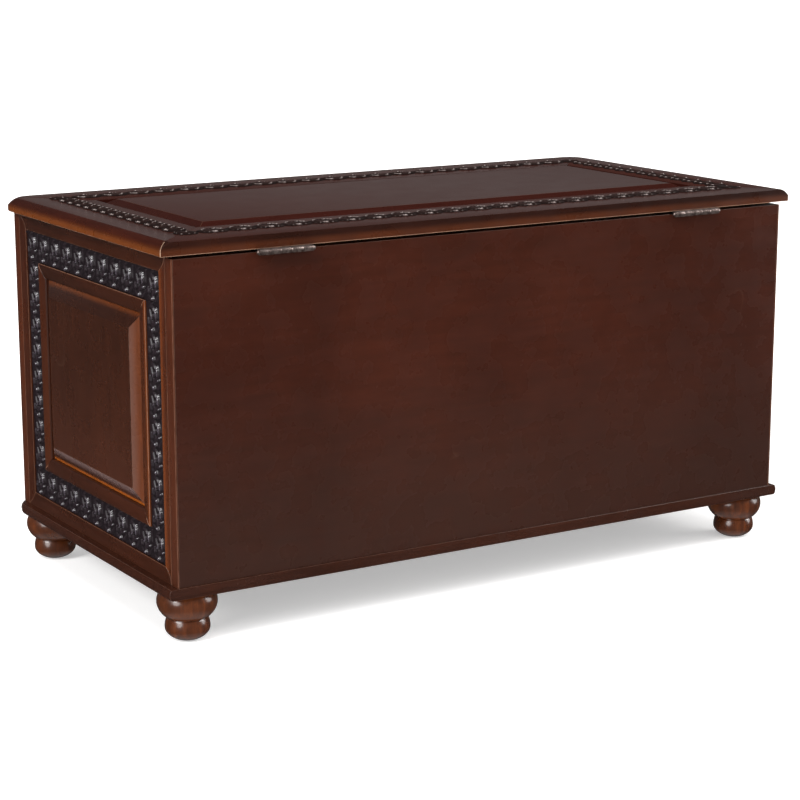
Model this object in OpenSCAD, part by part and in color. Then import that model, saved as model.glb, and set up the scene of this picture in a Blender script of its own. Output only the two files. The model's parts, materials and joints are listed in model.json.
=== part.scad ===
// Wooden storage chest with carved borders, raised panels, ball feet and a hinged lid.
// Millimetres, +Z up. The floor is z = 0, X runs along the chest, the front faces -Y
// and the hinges are at the back, towards +Y. "Right" is +X.

/* [Case] */
// Length of the case over its end faces
case_len = 970; // [940:5:1000]
// Depth of the case, front face to back face
case_depth = 502; // [490:2:520]
// Height of the case walls, from the base plate to the rim
case_h = 418.5; // [410:0.5:430]
// Thickness of the structural wall boards
board_t = 14; // [12:1:16]
// Thickness of the layer of mouldings and posts on the outside of the boards
layer_t = 10; // [9:1:12]
// Thickness of the flat back panel
back_t = 12; // [10:1:14]

/* [Carved and panelled faces] */
// Width of the plain upright band beside each corner
band_w = 18.5; // [16:0.5:22]
// Width of the outer moulding
outer_mould_w = 19.5; // [19:0.5:22]
// Width of the carved border
carve_w = 42.5; // [38:0.5:46]
// Width of the inner moulding
inner_mould_w = 19.5; // [18:0.5:23]
// Width of the bevel round a raised panel
panel_bevel_w = 21.5; // [16:0.5:24]
// Height of a raised field above the frame beside it
panel_proud = 3; // [1:0.5:4]

/* [Base and feet] */
// Height of the feet, floor to underside of the base plate
foot_h = 66; // [60:1:72]
// Thickness of the base plate
base_t = 15; // [12:1:18]
// How far the base plate stands out past the ends of the case
base_lip = 12.5; // [10:0.5:15]
// Greatest radius of a foot
foot_r = 39.5; // [36:0.5:42]
// Distance from the base plate's edges to a foot's axis
foot_inset = 44; // [42:1:50]

/* [Lid] */
// Thickness of the lid frame
lid_t = 17.7; // [16:0.1:20]
// Gap between the case rim and the lid
lid_gap = 4.1; // [3.5:0.1:5]
// Overhang of the lid past the ends and the front of the case
lid_lip = 15; // [13:0.5:18]
// Overhang of the lid past the back of the case
lid_back_lip = 2; // [1:0.5:2.5]
// Plan radius of the two front corners of the lid
lid_corner_r = 38; // [30:1:45]
// Largest opening angle of the lid, in degrees
lid_open = 95; // [85:1:95]

/* [Hinges and stays] */
// Length of a hinge
hinge_len = 77; // [70:1:80]
// Distance from the middle of the chest to the middle of a hinge
hinge_x = 328; // [300:1:350]
// Radius of a hinge barrel
knuckle_r = 4; // [3.8:0.1:4.2]
// Thickness of a hinge leaf
leaf_t = 1.8; // [1.5:0.1:2]
// Half width of a stay arm
arm_hw = 7; // [6:0.5:7]
// Thickness of a stay arm
arm_t = 2.5; // [2:0.1:2.5]

/* [Hidden] */

$fn = 48;
LEFT = -1;
RIGHT = 1;

// Colours
oak_dark = "#4a2418";
oak_mid = "#5c2e1a";
oak_inside = "#6a4630";
carved = "#2a2024";
cedar = "#a8714a";
pewter = "#6e6660";
steel = "#9a9a98";
black_rubber = "#202020";

// Case levels and planes
base_z = foot_h;
floor_z = base_z + base_t;
rim_z = floor_z + case_h;
case_hx = case_len / 2;
case_hy = case_depth / 2;
board_hx = case_hx - layer_t;
board_y = case_hy - layer_t;
inner_hx = board_hx - board_t;
inner_front_y = -board_y + board_t;
back_y = case_hy - back_t;
post_lip = 2;
fit = 0.1;
mitre_gap = 0.1;
barrel_gap = 0.2;
// The case is drawn about its own middle, then moved so that the origin is the middle of
// the whole chest's plan, from the lid's front edge to the back of the hinge barrels
mid_y = (lid_lip - lid_back_lip - 2 * knuckle_r - barrel_gap) / 2;

// Outline of the mouldings on a face, worked inwards from the corner bands
end_w = case_depth - 2 * band_w;
front_w = case_len - 2 * band_w;
face_h = case_h;
carve_in = outer_mould_w;
inner_in = carve_in + carve_w;
panel_in = inner_in + inner_mould_w;
panel_gap = 0.2;
panel_edge_t = 3;
carve_ground = layer_t + 0.5;

// Base plate and feet
base_hx = case_hx + base_lip;
base_front_y = -case_hy - base_lip;
base_back_y = case_hy + 1.5;
base_corner_r = 36;
base_nose = 4;
lining_t = 4;
foot_x = base_hx - foot_inset;
foot_front_y = base_front_y + foot_inset;
foot_back_y = base_back_y - foot_inset + 2;
foot_wide_z = foot_h - 15;
foot_neck_z = foot_h - 36.5;
foot_neck_r = 26.8;
foot_low_r = 29.5;
foot_low_z = 16.5;
foot_low_h = 18;
glide_r = 11;
glide_t = 3;
glide_out = 1;
bolt_r = 4;
bolt_z0 = foot_h - 34;
bolt_z1 = floor_z - 2;

// Lid levels and outline
lid_z = rim_z + lid_gap;
lid_top = lid_z + lid_t;
lid_hx = case_hx + lid_lip;
lid_front_y = -case_hy - lid_lip;
lid_back_y = case_hy + lid_back_lip;
lid_edge_flat = 8.2;
lid_edge_w = 13.5;
lid_edge_bulge = 1.2;
lid_rail_w = 98;
lid_open_x = lid_hx - lid_rail_w;
lid_open_y = lid_back_y - lid_rail_w;
lid_bevel_x = 21;
lid_bevel_y = 24;
lid_border = 45;
lid_strip_x = lid_hx - lid_border;
lid_strip_y = lid_back_y - lid_border + 5;
lid_strip_w = 36;
lid_strip_t = 2.5;
lid_panel_z = lid_z + 3;
lid_panel_edge = 6;
lid_tongue = 7;
lid_groove = 8;
cleat_x = 150;
cleat_w = 40;
cleat_t = 15;
cleat_hy = 195;
bumper_r = 6;
bumper_in = 20;
bumper_gap = 0.3;

// Hinges: the pin's axis is at the back, just under the lid
pin_y = lid_back_y + knuckle_r + barrel_gap;
pin_z = lid_z - knuckle_r;
pin_r = 1.75;
bore_case = pin_r + 0.02;
bore_lid = pin_r + 0.06;
knuckles = 5;
knuckle_gap = 0.3;
leaf_w = 30;
leaf_y0 = pin_y - leaf_w;
leaf_stop = knuckle_r + 0.4;
knuckle_len = hinge_len / knuckles - knuckle_gap;
hinge_screw_y = leaf_y0 + 7;
hinge_screw_x = [-27, 0, 27];
rail_t = 18;
rail_h = 40;

// Wood screws with countersunk heads
screw_r = 1.9;
screw_head_r = 3.7;
screw_head_h = 1.7;
screw_len = 13;

// Stays: parallel linkage with pivots on the case, on the lid and at the elbow
stay_case_dy = -57;
stay_case_dz = -140;
stay_lid_dy = -129.8;
stay_lid_dz = -8;
stay_case_y = pin_y + stay_case_dy;
stay_case_z = pin_z + stay_case_dz;
stay_lid_y = pin_y + stay_lid_dy;
stay_lid_z = pin_z + stay_lid_dz;
elbow_y = stay_lid_y + stay_case_dy;
elbow_z = stay_lid_z + stay_case_dz;
lower_len = norm([stay_lid_dy, stay_lid_dz]);
upper_len = norm([stay_case_dy, stay_case_dz]);
lower_ang = atan2(stay_lid_dz, stay_lid_dy);
upper_ang = atan2(-stay_case_dz, -stay_case_dy);
// Angle left between the two arms when the lid is fully open, and the pin that stops them there
open_bend = lower_ang + 360 - lid_open - upper_ang;
stop_pin_r = 2;
stop_pin_at = (arm_hw + stop_pin_r + 0.3) / sin(open_bend);
tail_len = stop_pin_at + 5;
rivet_r = 3;
rivet_bore = rivet_r + 0.06;
rivet_head_r = 5;
rivet_head_t = 1.1;
shoulder_r = 4.8;
plate_t = 3;
// Planes of the stay's layers, as distances from the middle of the chest
x_case_plate = inner_hx - plate_t;
x_lower = x_case_plate - 1;
x_upper = x_lower - arm_t - 0.8;
x_flange = x_upper - arm_t - 0.8;
flange_t = 2.5;
flange_w = 26;
flange_reach = 24;
lid_screw_x = x_flange - flange_reach + 8;
lid_screw_dy = [-8, 8];
case_plate_h = 46;
case_plate_w = 20;
stay_screw_dz = [-15, 15];

// ---------------------------------------------------------------- helpers

module placed() {
  translate([0, mid_y, 0])
    children();
}

// Places drawing coordinates (across, up, out) on the outside of an end wall or of the front wall
module on_end(side) {
  translate([side * board_hx, 0, 0])
    rotate([90, 0, side * 90])
      children();
}

module on_front() {
  translate([0, -board_y, 0])
    rotate([90, 0, 0])
      children();
}

// Points of a profile that goes from [0, z0] to [w, z1] with an outward bulge
function bulged(w, z0, z1, bulge, n) =
  let (run = norm([w, z1 - z0]))
  [for (i = [0:n])
    let (t = i / n, out = bulge * sin(180 * t))
    [w * t - out * (z1 - z0) / run, z0 + (z1 - z0) * t + out * w / run]];

// Points of a half-round nose of depth d on an edge of thickness h
function nose(d, h, n) =
  [for (i = [0:n])
    let (a = -90 + 180 * i / n)
    [d * (1 - cos(a)), h / 2 + h / 2 * sin(a)]];

// One member of a mitred frame: a profile run along the lower side of a w x h rectangle
module mitred_side(w, h, width, profile, top) {
  intersection() {
    translate([-w / 2, -h / 2, 0])
      rotate([90, 0, 90])
        linear_extrude(w)
          polygon(profile);
    translate([0, -h / 2, -1])
      linear_extrude(top + 2)
        polygon([
          [-w / 2 + mitre_gap, 0], [w / 2 - mitre_gap, 0],
          [w / 2 - width - mitre_gap, width], [-w / 2 + width + mitre_gap, width]
        ]);
  }
}

// Four mitred members round a w x h rectangle, with their profiles facing outwards
module mitred_frame(w, h, width, profile, top) {
  for (i = [0:3])
    rotate([0, 0, 90 * i])
      mitred_side(i % 2 == 0 ? w : h, i % 2 == 0 ? h : w, width, profile, top);
}

// A raised panel: a field with a bevel falling away on all four sides
module raised_panel(w, h, bevel_w, bevel_h, edge_t, top) {
  intersection() {
    translate([0, h / 2, 0])
      rotate([90, 0, 0])
        linear_extrude(h)
          panel_section(w, bevel_w, edge_t, top);
    translate([-w / 2, 0, 0])
      rotate([90, 0, 90])
        linear_extrude(w)
          panel_section(h, bevel_h, edge_t, top);
  }
}

module panel_section(w, bevel, edge_t, top) {
  polygon([
    [-w / 2, 0], [w / 2, 0], [w / 2, edge_t],
    [w / 2 - bevel, top], [-w / 2 + bevel, top], [-w / 2, edge_t]
  ]);
}

// A slab with a shaped edge on its ends and its front and a plain back, with rounded front
// corners. The edge profile runs from the bottom to the top, as [depth in, height].
module shaped_slab(hx, y0, y1, t, r, profile) {
  rim = concat([[r, 0]], profile, [[r, t]]);
  translate([-hx + r, y0 + r, 0])
    cube([2 * (hx - r), y1 - y0 - r, t]);
  for (side = [LEFT, RIGHT]) {
    // straight end edge
    translate([side * hx, side < 0 ? y1 : y0 + r, 0])
      rotate([90, 0, side < 0 ? 0 : 180])
        linear_extrude(y1 - y0 - r)
          polygon(rim);
    // rounded front corner
    translate([side * (hx - r), y0 + r, 0])
      rotate([0, 0, side < 0 ? 180 : 270])
        rotate_extrude(angle = 90, $fn = 96)
          polygon([for (p = rim) [r - p[0], p[1]]]);
  }
  // straight front edge
  translate([-hx + r, y0, 0])
    rotate([90, 0, 90])
      linear_extrude(2 * (hx - r))
        polygon(rim);
}

// A countersunk wood screw, head at z = 0, shank pointing up
module screw(len = screw_len) {
  cylinder(h = screw_head_h, r1 = screw_head_r, r2 = screw_r);
  translate([0, 0, screw_head_h])
    cylinder(h = len - screw_head_h - 2, r = screw_r);
  translate([0, 0, len - 2])
    cylinder(h = 2, r1 = screw_r, r2 = 0.6);
}

// The hole that takes a screw through sheet of thickness t
module screw_hole(t) {
  cylinder(h = screw_head_h + 0.05, r1 = screw_head_r + fit, r2 = screw_r + fit);
  translate([0, 0, -1])
    cylinder(h = t + 2, r = screw_r + fit);
}

// A rod along X from x0 to x1 on the given side
module rod(side, x0, x1, r) {
  translate([side * x0, 0, 0])
    rotate([0, 90 * side, 0])
      cylinder(h = x1 - x0, r = r);
}

// A flat bar of the stays, in the plane from x0 to x0 + t, from one pivot to len further on
module bar(side, x0, t, len, ang) {
  translate([side * (x0 + (side < 0 ? t : 0)), 0, 0])
    rotate([90, 0, 90])
      rotate([0, 0, ang])
        linear_extrude(t)
          union() {
            translate([0, -arm_hw])
              square([len, 2 * arm_hw]);
            circle(r = arm_hw);
            translate([len, 0])
              circle(r = arm_hw);
          }
}

// ---------------------------------------------------------------- base and feet

module base_plate() {
  color(oak_mid)
    difference() {
      translate([0, 0, base_z])
        shaped_slab(base_hx, base_front_y, base_back_y, base_t, base_corner_r,
                    nose(base_nose, base_t, 8));
      for (sx = [LEFT, RIGHT], y = [foot_front_y, foot_back_y])
        translate([sx * foot_x, y, base_z - 1])
          cylinder(h = bolt_z1 - base_z + 1, r = bolt_r + fit);
    }
}

module bottom_lining() {
  color(cedar)
    translate([-inner_hx, inner_front_y, floor_z])
      cube([2 * inner_hx, back_y - inner_front_y, lining_t]);
}

// Radius of the turned foot at height z: a squashed ball under a larger cut-off ball
function foot_radius(z) =
  z < foot_low_z ? foot_low_r * sqrt(1 - pow((foot_low_z - z) / foot_low_h, 2))
  : z < foot_neck_z ? blend(foot_low_r, foot_neck_r, (z - foot_low_z) / (foot_neck_z - foot_low_z))
  : z < foot_wide_z ? blend(foot_r, foot_neck_r, (foot_wide_z - z) / (foot_wide_z - foot_neck_z))
  : blend(foot_r, foot_r - 5.5, (z - foot_wide_z) / (foot_h - foot_wide_z));

// Ball-like fall from radius a to radius b as t goes from 0 to 1
function blend(a, b, t) =
  let (k = 1 - pow(b / a, 2))
  a * sqrt(1 - k * t * t);

module foot(sx, y) {
  steps = 36;
  z0 = glide_out;
  color(oak_mid)
    translate([sx * foot_x, y, 0])
      difference() {
        rotate_extrude($fn = 96)
          polygon(concat(
            [[0, z0]],
            [for (i = [0:steps]) let (z = z0 + (foot_h - z0) * i / steps) [foot_radius(z), z]],
            [[0, foot_h]]
          ));
        translate([0, 0, bolt_z0])
          cylinder(h = foot_h, r = bolt_r + fit);
        cylinder(h = glide_t, r = glide_r + fit);
      }
}

module foot_bolts() {
  color(steel)
    for (sx = [LEFT, RIGHT], y = [foot_front_y, foot_back_y])
      translate([sx * foot_x, y, bolt_z0])
        cylinder(h = bolt_z1 - bolt_z0, r = bolt_r);
}

module foot_glides() {
  color(black_rubber)
    for (sx = [LEFT, RIGHT], y = [foot_front_y, foot_back_y])
      translate([sx * foot_x, y, 0])
        cylinder(h = glide_t, r = glide_r);
}

// ---------------------------------------------------------------- case walls

module end_board(side) {
  color(oak_inside)
    translate([side > 0 ? inner_hx : -board_hx, -board_y, floor_z])
      cube([board_t, board_y + back_y, case_h]);
}

module front_board() {
  color(oak_inside)
    translate([-inner_hx, -board_y, floor_z])
      cube([2 * inner_hx, board_t, case_h]);
}

// The flat back, let in behind the lips of the rear posts, with mortises for the hinge leaves
module back_panel() {
  color(oak_dark)
    difference() {
      translate([-case_hx + post_lip, back_y, floor_z])
        cube([case_len - 2 * post_lip, back_t, case_h]);
      for (side = [LEFT, RIGHT])
        leaf_mortise(side);
    }
}

// Rail behind the top of the back panel, which the hinges are screwed to
module back_top_rail() {
  color(oak_inside)
    difference() {
      translate([-inner_hx, back_y - rail_t, rim_z - rail_h])
        cube([2 * inner_hx, rail_t, rail_h]);
      for (side = [LEFT, RIGHT])
        leaf_mortise(side);
    }
}

module leaf_mortise(side) {
  translate([side * hinge_x - hinge_len / 2 - fit, leaf_y0 - fit, rim_z - leaf_t])
    cube([hinge_len + 2 * fit, leaf_w + knuckle_r, leaf_t + 1]);
}

// Upright posts at the front corners, L-shaped round the boards
module front_corner_posts() {
  color(oak_mid)
    for (side = [LEFT, RIGHT])
      translate([0, 0, floor_z])
        linear_extrude(case_h)
          polygon([for (p = [
            [case_hx, -case_hy], [case_hx, -case_hy + band_w], [board_hx, -case_hy + band_w],
            [board_hx, -board_y], [case_hx - band_w, -board_y], [case_hx - band_w, -case_hy]
          ]) [side * p[0], p[1]]]);
}

// Upright posts at the back corners, rabbeted for the back panel
module rear_corner_posts() {
  color(oak_mid)
    for (side = [LEFT, RIGHT])
      translate([0, 0, floor_z])
        linear_extrude(case_h)
          polygon([for (p = [
            [board_hx, case_hy - band_w], [case_hx, case_hy - band_w], [case_hx, case_hy],
            [case_hx - post_lip, case_hy], [case_hx - post_lip, back_y], [board_hx, back_y]
          ]) [side * p[0], p[1]]]);
}

// Square blocks glued into the inside corners
module glue_blocks() {
  size = 18;
  front_drop = 20;
  z0 = floor_z + lining_t;
  color(oak_inside)
    for (side = [LEFT, RIGHT])
      translate([side > 0 ? inner_hx - size : -inner_hx, 0, z0]) {
        translate([0, inner_front_y, 0])
          cube([size, size, rim_z - front_drop - z0]);
        translate([0, back_y - size, 0])
          cube([size, size, rim_z - rail_h - z0]);
      }
}

// ---------------------------------------------------------------- carved, panelled faces

// Draws in the plane of a face, centred on the height of the case
module face_centre() {
  translate([0, floor_z + case_h / 2, 0])
    children();
}

module outer_moulding(w) {
  t = layer_t;
  color(oak_mid)
    face_centre()
      mitred_frame(w, face_h, outer_mould_w, [
        [0, 0], [0, t], [2, t], [5, t - 1.2], [10, t - 2.2], [15, t - 2], [18, t - 1.1],
        [outer_mould_w, t - 1], [outer_mould_w, 0]
      ], t);
}

module carving(w) {
  color(carved)
    face_centre()
      mitred_frame(w - 2 * carve_in, face_h - 2 * carve_in, carve_w, [
        [0, 0], [0, layer_t - 2], [3, carve_ground], [carve_w - 3, carve_ground],
        [carve_w, layer_t - 2], [carve_w, 0]
      ], carve_ground);
}

module inner_moulding(w) {
  t = layer_t;
  e = inner_mould_w;
  color(oak_mid)
    face_centre()
      mitred_frame(w - 2 * inner_in, face_h - 2 * inner_in, e, [
        [0, 0], [0, t - 1], [2, t], [5, t], [e - 4, t - 1.4], [e - 1, t - 2.6], [e, t - 4], [e, 0]
      ], t);
}

module face_panel(w) {
  color(oak_dark)
    face_centre()
      raised_panel(w - 2 * panel_in - 2 * panel_gap, face_h - 2 * panel_in - 2 * panel_gap,
                   panel_bevel_w, panel_bevel_w, panel_edge_t, layer_t + panel_proud);
}

// ---------------------------------------------------------------- hinges

// Span of knuckle k along the hinge
function knuckle_x0(k) = -hinge_len / 2 + k * hinge_len / knuckles + knuckle_gap / 2;

module knuckle(k) {
  translate([knuckle_x0(k), 0, 0])
    rotate([0, 90, 0])
      cylinder(h = knuckle_len, r = knuckle_r);
}

// A leaf: a plate from leaf_w in front of the pin, at height z0, and its own knuckles
module leaf(mine, z0, bore) {
  difference() {
    union() {
      translate([-hinge_len / 2, -leaf_w, z0])
        cube([hinge_len, leaf_w - leaf_stop, leaf_t]);
      for (k = mine) {
        translate([knuckle_x0(k), -leaf_stop - 1, z0])
          cube([knuckle_len, leaf_stop + 1, leaf_t]);
        knuckle(k);
      }
    }
    translate([-hinge_len / 2 - 1, 0, 0])
      rotate([0, 90, 0])
        cylinder(h = hinge_len + 2, r = bore);
  }
}

module hinge_case_leaf(side) {
  color(pewter)
    difference() {
      translate([side * hinge_x, pin_y, pin_z])
        leaf([0, 2, 4], rim_z - leaf_t - pin_z, bore_case);
      for (x = hinge_screw_x)
        translate([side * hinge_x + x, hinge_screw_y, rim_z])
          mirror([0, 0, 1])
            screw_hole(leaf_t);
    }
}

module hinge_lid_leaf(side) {
  color(pewter)
    difference() {
      translate([side * hinge_x, pin_y, pin_z])
        leaf([1, 3], knuckle_r - leaf_t, bore_lid);
      for (x = hinge_screw_x)
        translate([side * hinge_x + x, hinge_screw_y, lid_z - leaf_t])
          screw_hole(leaf_t);
    }
}

// The pin, with a rounded finial at each end
module hinge_pin(side) {
  tip = 3;
  color(pewter)
    translate([side * hinge_x - hinge_len / 2, pin_y, pin_z])
      rotate([0, 90, 0])
        rotate_extrude()
          polygon(concat(
            [[0, -tip - 0.4]],
            [for (i = [1:6]) let (a = 15 * i) [tip * sin(a), -0.4 - tip * cos(a)]],
            [[tip, -0.1], [pin_r, -0.1], [pin_r, hinge_len + 0.1], [tip, hinge_len + 0.1]],
            [for (i = [0:5]) let (a = 90 - 15 * i) [tip * sin(a), hinge_len + 0.4 + tip * cos(a)]],
            [[0, hinge_len + tip + 0.4]]
          ));
}

module hinge_case_screws() {
  color(steel)
    for (side = [LEFT, RIGHT], x = hinge_screw_x)
      translate([side * hinge_x + x, hinge_screw_y, rim_z])
        mirror([0, 0, 1])
          screw();
}

module hinge_lid_screws() {
  color(steel)
    for (side = [LEFT, RIGHT], x = hinge_screw_x)
      translate([side * hinge_x + x, hinge_screw_y, lid_z - leaf_t])
        screw();
}

// ---------------------------------------------------------------- lid stays

module stay_case_bracket(side) {
  color(pewter)
    difference() {
      translate([side > 0 ? x_case_plate : -inner_hx, stay_case_y - case_plate_w / 2,
                 stay_case_z - case_plate_h / 2])
        cube([plate_t, case_plate_w, case_plate_h]);
      translate([0, stay_case_y, stay_case_z]) {
        rod(side, x_case_plate - 1, inner_hx + 1, rivet_r + 0.02);
        for (dz = stay_screw_dz)
          translate([side * x_case_plate, 0, dz])
            rotate([0, 90 * side, 0])
              screw_hole(plate_t);
      }
    }
}

// The rivet in the case bracket, with a shoulder behind the arm and a head in front of it
module stay_case_rivet(side) {
  color(steel)
    translate([0, stay_case_y, stay_case_z]) {
      rod(side, x_lower - arm_t - 0.3, inner_hx - 0.1, rivet_r);
      rod(side, x_lower + 0.2, x_case_plate, shoulder_r);
      rod(side, x_lower - arm_t - 0.2 - rivet_head_t, x_lower - arm_t - 0.2, rivet_head_r);
    }
}

// Lower arm, from the case pivot past the elbow to its stop pin
module stay_lower_arm(side) {
  color(pewter)
    translate([0, stay_case_y, stay_case_z])
      difference() {
        union() {
          bar(side, x_lower - arm_t, arm_t, lower_len + tail_len, lower_ang);
          stay_point(lower_len + stop_pin_at, lower_ang)
            rod(side, x_upper - arm_t, x_lower - arm_t + 0.5, stop_pin_r);
        }
        rod(side, x_lower - arm_t - 1, x_lower + 1, rivet_bore);
        stay_point(lower_len, lower_ang)
          rod(side, x_lower - arm_t - 1, x_lower + 1, rivet_r + 0.02);
      }
}

// Moves to a point at a distance and angle from a pivot, in the plane of the stay
module stay_point(dist, ang) {
  translate([0, dist * cos(ang), dist * sin(ang)])
    children();
}

module stay_elbow_rivet(side) {
  color(steel)
    translate([0, elbow_y, elbow_z]) {
      rod(side, x_upper - arm_t - 0.3, x_lower + 0.1, rivet_r);
      rod(side, x_upper + 0.2, x_lower - arm_t, shoulder_r);
      rod(side, x_upper - arm_t - 0.2 - rivet_head_t, x_upper - arm_t - 0.2, rivet_head_r);
      rod(side, x_lower, x_lower + 0.5, shoulder_r);
    }
}

module stay_upper_arm(side) {
  color(pewter)
    translate([0, elbow_y, elbow_z])
      difference() {
        bar(side, x_upper - arm_t, arm_t, upper_len, upper_ang);
        for (d = [0, upper_len])
          stay_point(d, upper_ang)
            rod(side, x_upper - arm_t - 1, x_upper + 1, rivet_bore);
      }
}

module stay_lid_rivet(side) {
  color(steel)
    translate([0, stay_lid_y, stay_lid_z]) {
      rod(side, x_flange - flange_t - 0.1, x_upper + 0.3, rivet_r);
      rod(side, x_flange, x_upper - arm_t - 0.2, shoulder_r);
      rod(side, x_upper + 0.2, x_upper + 0.2 + rivet_head_t, rivet_head_r);
      rod(side, x_flange - flange_t - 0.8, x_flange - flange_t, shoulder_r);
    }
}

// Angle bracket under the lid
module stay_lid_bracket(side) {
  x1 = x_flange;
  color(pewter)
    difference() {
      translate([0, stay_lid_y - flange_w / 2, 0]) {
        translate([side > 0 ? x1 - flange_t : -x1, 0, stay_lid_z - arm_hw])
          cube([flange_t, flange_w, lid_z - stay_lid_z + arm_hw]);
        translate([side > 0 ? x1 - flange_reach : -x1, 0, lid_z - flange_t])
          cube([flange_reach, flange_w, flange_t]);
      }
      translate([0, stay_lid_y, stay_lid_z])
        rod(side, x1 - flange_t - 1, x1 + 1, rivet_r + 0.02);
      for (dy = lid_screw_dy)
        translate([side * lid_screw_x, stay_lid_y + dy, lid_z - flange_t])
          screw_hole(flange_t);
    }
}

module stay_case_screws() {
  color(steel)
    for (side = [LEFT, RIGHT], dz = stay_screw_dz)
      translate([side * x_case_plate, stay_case_y, stay_case_z + dz])
        rotate([0, 90 * side, 0])
          screw();
}

module stay_lid_screws() {
  color(steel)
    for (side = [LEFT, RIGHT], dy = lid_screw_dy)
      translate([side * lid_screw_x, stay_lid_y + dy, lid_z - flange_t])
        screw();
}

// ---------------------------------------------------------------- lid

// The whole lid frame, grooved for the panel's tongue, before it is cut into four mitred rails
module lid_frame() {
  difference() {
    translate([0, 0, lid_z])
      shaped_slab(lid_hx, lid_front_y, lid_back_y, lid_t, lid_corner_r,
                  concat([[1, 0], [0, 1]],
                         bulged(lid_edge_w, lid_edge_flat, lid_t, lid_edge_bulge, 6)));
    translate([-lid_open_x, -lid_open_y, lid_z - 1])
      cube([2 * lid_open_x, 2 * lid_open_y, lid_t + 2]);
    translate([-lid_open_x - lid_groove, -lid_open_y - lid_groove, lid_panel_z])
      cube([2 * (lid_open_x + lid_groove), 2 * (lid_open_y + lid_groove), lid_panel_edge]);
  }
}

// A rail is the part of the lid frame inside a plan outline
module lid_rail(outline) {
  color(oak_dark)
    intersection() {
      lid_frame();
      translate([0, 0, lid_z - 1])
        linear_extrude(lid_t + 2)
          polygon(outline);
    }
}

module lid_back_rail() {
  g = mitre_gap;
  lid_rail([
    [-lid_hx + g, lid_back_y], [-lid_open_x + g, lid_open_y],
    [lid_open_x - g, lid_open_y], [lid_hx - g, lid_back_y]
  ]);
}

module lid_front_rail() {
  g = mitre_gap;
  lid_rail([
    [-lid_hx + g, lid_front_y], [-lid_open_x + g, -lid_open_y],
    [lid_open_x - g, -lid_open_y], [lid_hx - g, lid_front_y]
  ]);
}

module lid_end_rail(side) {
  lid_rail([for (p = [
    [lid_hx, lid_front_y], [lid_open_x, -lid_open_y],
    [lid_open_x, lid_open_y], [lid_hx, lid_back_y]
  ]) [side * p[0], p[1]]]);
}

// The raised panel, held by a tongue that runs in the groove of the rails
module lid_panel() {
  tongue_x = lid_open_x + lid_tongue;
  tongue_y = lid_open_y + lid_tongue;
  color(oak_dark)
    translate([0, 0, lid_panel_z]) {
      raised_panel(2 * lid_open_x - 2 * panel_gap, 2 * lid_open_y - 2 * panel_gap,
                   lid_bevel_x, lid_bevel_y, lid_panel_edge,
                   lid_top + panel_proud - lid_panel_z);
      translate([-tongue_x, -tongue_y, 0])
        cube([2 * tongue_x, 2 * tongue_y, lid_panel_edge]);
    }
}

module lid_carving() {
  color(carved)
    translate([0, 0, lid_top])
      mitred_frame(2 * lid_strip_x, 2 * lid_strip_y, lid_strip_w, [
        [0, 0], [2, lid_strip_t], [lid_strip_w - 2, lid_strip_t], [lid_strip_w, 0]
      ], lid_strip_t);
}

// Two battens that keep the lid flat
module lid_cleats() {
  color(oak_inside)
    for (side = [LEFT, RIGHT])
      translate([side * cleat_x - cleat_w / 2, -cleat_hy, lid_z - cleat_t])
        cube([cleat_w, 2 * cleat_hy, cleat_t]);
}

module lid_bumpers() {
  color(black_rubber)
    for (side = [LEFT, RIGHT])
      translate([side * (inner_hx - bumper_in), -board_y + board_t / 2, rim_z + bumper_gap])
        cylinder(h = lid_gap - bumper_gap, r = bumper_r);
}

// ---------------------------------------------------------------- assembly

placed() base_plate();
placed() bottom_lining();
placed() foot(LEFT, foot_front_y);  // front_left_foot
placed() foot(RIGHT, foot_front_y);  // front_right_foot
placed() foot(LEFT, foot_back_y);  // rear_left_foot
placed() foot(RIGHT, foot_back_y);  // rear_right_foot
placed() foot_bolts();
placed() foot_glides();
placed() end_board(LEFT);  // left_end_board
placed() end_board(RIGHT);  // right_end_board
placed() front_board();
placed() back_panel();
placed() back_top_rail();
placed() front_corner_posts();
placed() rear_corner_posts();
placed() glue_blocks();
placed() on_end(LEFT) outer_moulding(end_w);  // left_outer_moulding
placed() on_end(LEFT) carving(end_w);  // left_carving
placed() on_end(LEFT) inner_moulding(end_w);  // left_inner_moulding
placed() on_end(LEFT) face_panel(end_w);  // left_raised_panel
placed() on_end(RIGHT) outer_moulding(end_w);  // right_outer_moulding
placed() on_end(RIGHT) carving(end_w);  // right_carving
placed() on_end(RIGHT) inner_moulding(end_w);  // right_inner_moulding
placed() on_end(RIGHT) face_panel(end_w);  // right_raised_panel
placed() on_front() outer_moulding(front_w);  // front_outer_moulding
placed() on_front() carving(front_w);  // front_carving
placed() on_front() inner_moulding(front_w);  // front_inner_moulding
placed() on_front() face_panel(front_w);  // front_raised_panel
placed() hinge_case_leaf(LEFT);  // left_hinge_case_leaf
placed() hinge_lid_leaf(LEFT);  // left_hinge_lid_leaf
placed() hinge_pin(LEFT);  // left_hinge_pin
placed() hinge_case_leaf(RIGHT);  // right_hinge_case_leaf
placed() hinge_lid_leaf(RIGHT);  // right_hinge_lid_leaf
placed() hinge_pin(RIGHT);  // right_hinge_pin
placed() hinge_case_screws();
placed() hinge_lid_screws();
placed() stay_case_bracket(LEFT);  // left_stay_case_bracket
placed() stay_case_rivet(LEFT);  // left_stay_case_rivet
placed() stay_lower_arm(LEFT);  // left_stay_lower_arm
placed() stay_elbow_rivet(LEFT);  // left_stay_elbow_rivet
placed() stay_upper_arm(LEFT);  // left_stay_upper_arm
placed() stay_lid_rivet(LEFT);  // left_stay_lid_rivet
placed() stay_lid_bracket(LEFT);  // left_stay_lid_bracket
placed() stay_case_bracket(RIGHT);  // right_stay_case_bracket
placed() stay_case_rivet(RIGHT);  // right_stay_case_rivet
placed() stay_lower_arm(RIGHT);  // right_stay_lower_arm
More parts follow.
